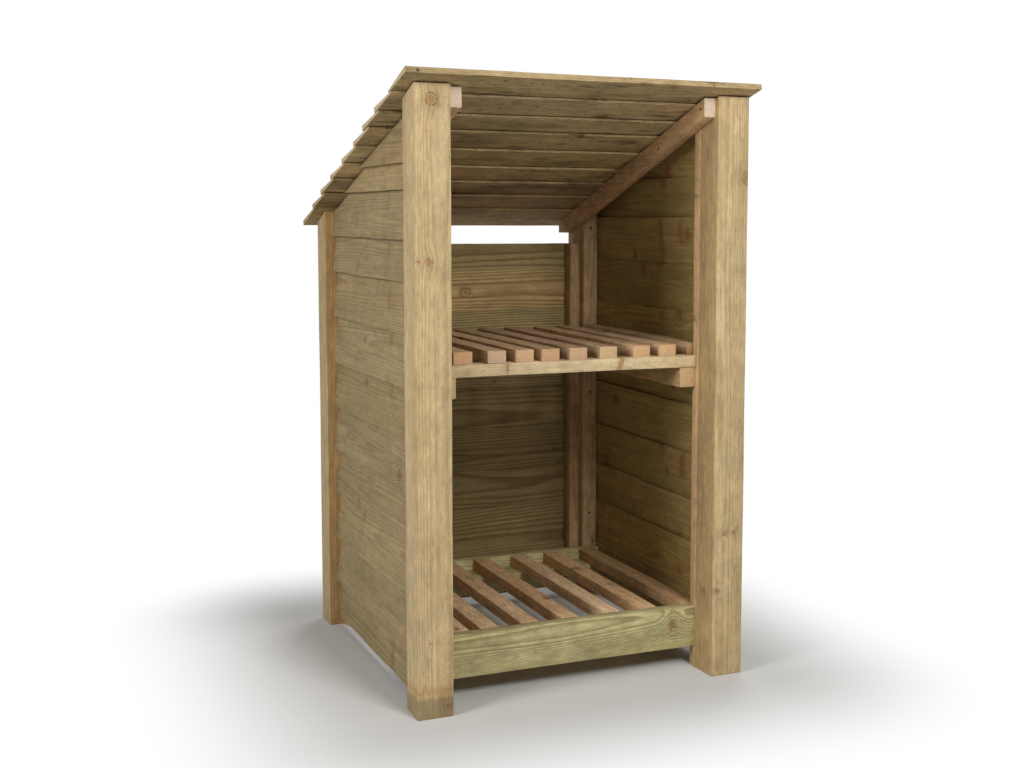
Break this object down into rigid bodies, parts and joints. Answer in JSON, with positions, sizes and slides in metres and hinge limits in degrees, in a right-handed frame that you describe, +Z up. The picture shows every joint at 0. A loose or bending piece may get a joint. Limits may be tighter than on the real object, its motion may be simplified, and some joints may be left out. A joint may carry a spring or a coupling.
{
  "type": "log store",
  "caption": "Open-fronted timber log store with a lean-to roof of lapped boards, boarded sides and back, a slatted floor and a slatted shelf.",
  "frame": {"origin": "on the ground, under the middle of the roof's plan", "axes": "+Z up, the open front faces -Y, +X to the right as seen from the front"},
  "size_m": [0.785, 0.865, 1.2852],
  "materials": {
    "posts": "sawn softwood, pressure treated, pale straw with warm brown streaks",
    "wall_boards": "sawn tapered boards, pressure treated, olive brown",
    "roof_boards": "sawn tapered boards, pressure treated, olive brown with paler edges",
    "battens": "sawn laths, pressure treated, warm brown",
    "rafters": "sawn rafters, pressure treated, warm brown with pale cut ends",
    "shelf_frame": "sawn rails and bearers, pale straw",
    "shelf_slats": "sawn slats, pinkish brown with salmon cut ends",
    "floor_frame": "sawn boards, pressure treated, greenish straw",
    "floor_slats": "sawn slats, mixed cream and pinkish brown"
  },
  "bodies": {
    "root": {"back_left_post": "posts", "back_right_post": "posts", "back_wall_boards": "wall_boards", "back_wall_left_batten": "battens", "back_wall_right_batten": "battens", "floor_back_board": "floor_frame", "floor_back_cleat": "floor_frame", "floor_front_board": "floor_frame", "floor_front_cleat": "floor_frame", "floor_slat_1": "floor_slats", "floor_slat_2": "floor_slats", "floor_slat_3": "floor_slats", "floor_slat_4": "floor_slats", "floor_slat_5": "floor_slats", "floor_slat_6": "floor_slats", "floor_slat_7": "floor_slats", "front_left_post": "posts", "front_right_post": "posts", "left_back_batten": "battens", "left_front_batten": "battens", "left_rafter": "rafters", "left_wall_boards": "wall_boards", "right_back_batten": "battens", "right_front_batten": "battens", "right_rafter": "rafters", "right_wall_boards": "wall_boards", "roof_boards": "roof_boards", "shelf_back_rail": "shelf_frame", "shelf_front_rail": "shelf_frame", "shelf_left_bearer": "shelf_frame", "shelf_right_bearer": "shelf_frame", "shelf_slat_1": "shelf_slats", "shelf_slat_2": "shelf_slats", "shelf_slat_3": "shelf_slats", "shelf_slat_4": "shelf_slats", "shelf_slat_5": "shelf_slats", "shelf_slat_6": "shelf_slats", "shelf_slat_7": "shelf_slats", "shelf_slat_8": "shelf_slats", "shelf_slat_9": "shelf_slats"}
  },
  "joints": []
}
